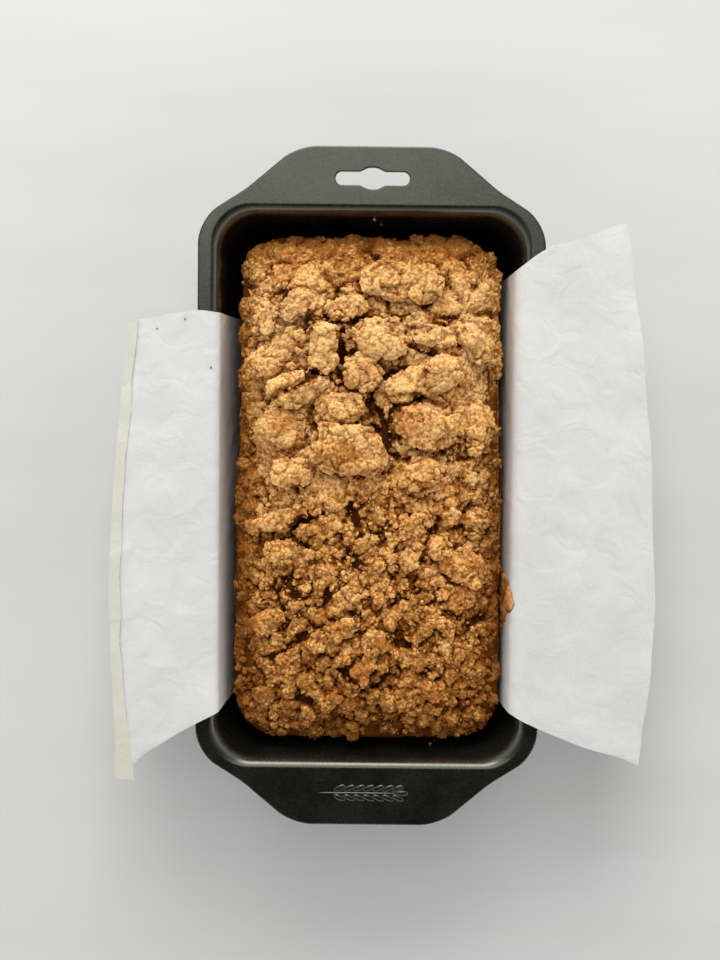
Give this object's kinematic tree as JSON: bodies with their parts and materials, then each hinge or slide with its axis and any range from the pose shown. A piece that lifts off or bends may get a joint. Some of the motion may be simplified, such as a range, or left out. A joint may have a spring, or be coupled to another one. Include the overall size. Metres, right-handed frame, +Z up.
{
  "type": "apple bread",
  "caption": "Loaf of apple bread with a crumb topping, baked in a lug-handled loaf tin on a strip of baking parchment that hangs out over both long sides.",
  "frame": {"origin": "middle of the tin's base, on the surface it stands on", "axes": "+Z up, +Y along the tin to the handle with the hanging slot, +X to the right of that"},
  "size_m": [0.2292, 0.2834, 0.0768],
  "materials": {
    "tin_coating": "dark grey semi-gloss non-stick coating on pressed steel",
    "parchment": "thin, slightly translucent baking parchment",
    "crust": "baked brown crust, matt",
    "crumb": "golden-brown buttery crumb, matt with dark crevices",
    "large_crumb": "golden-brown buttery crumb, matt, toasted on its high spots"
  },
  "bodies": {
    "root": {"loaf_tin": "tin_coating", "parchment": "parchment", "loaf": "crust", "crumb_topping": "crumb", "large_crumb_01": "large_crumb", "large_crumb_02": "large_crumb", "large_crumb_03": "large_crumb", "large_crumb_04": "large_crumb", "large_crumb_05": "large_crumb", "large_crumb_06": "large_crumb", "large_crumb_07": "large_crumb", "large_crumb_08": "large_crumb", "large_crumb_09": "large_crumb", "large_crumb_10": "large_crumb", "large_crumb_11": "large_crumb", "large_crumb_12": "large_crumb", "large_crumb_13": "large_crumb", "large_crumb_14": "large_crumb", "large_crumb_15": "large_crumb", "large_crumb_16": "large_crumb", "large_crumb_17": "large_crumb", "large_crumb_18": "large_crumb", "large_crumb_19": "large_crumb", "large_crumb_20": "large_crumb", "large_crumb_21": "large_crumb", "large_crumb_22": "large_crumb", "large_crumb_23": "large_crumb", "large_crumb_24": "large_crumb", "large_crumb_25": "large_crumb", "large_crumb_26": "large_crumb", "large_crumb_27": "large_crumb", "large_crumb_28": "large_crumb"}
  },
  "joints": []
}
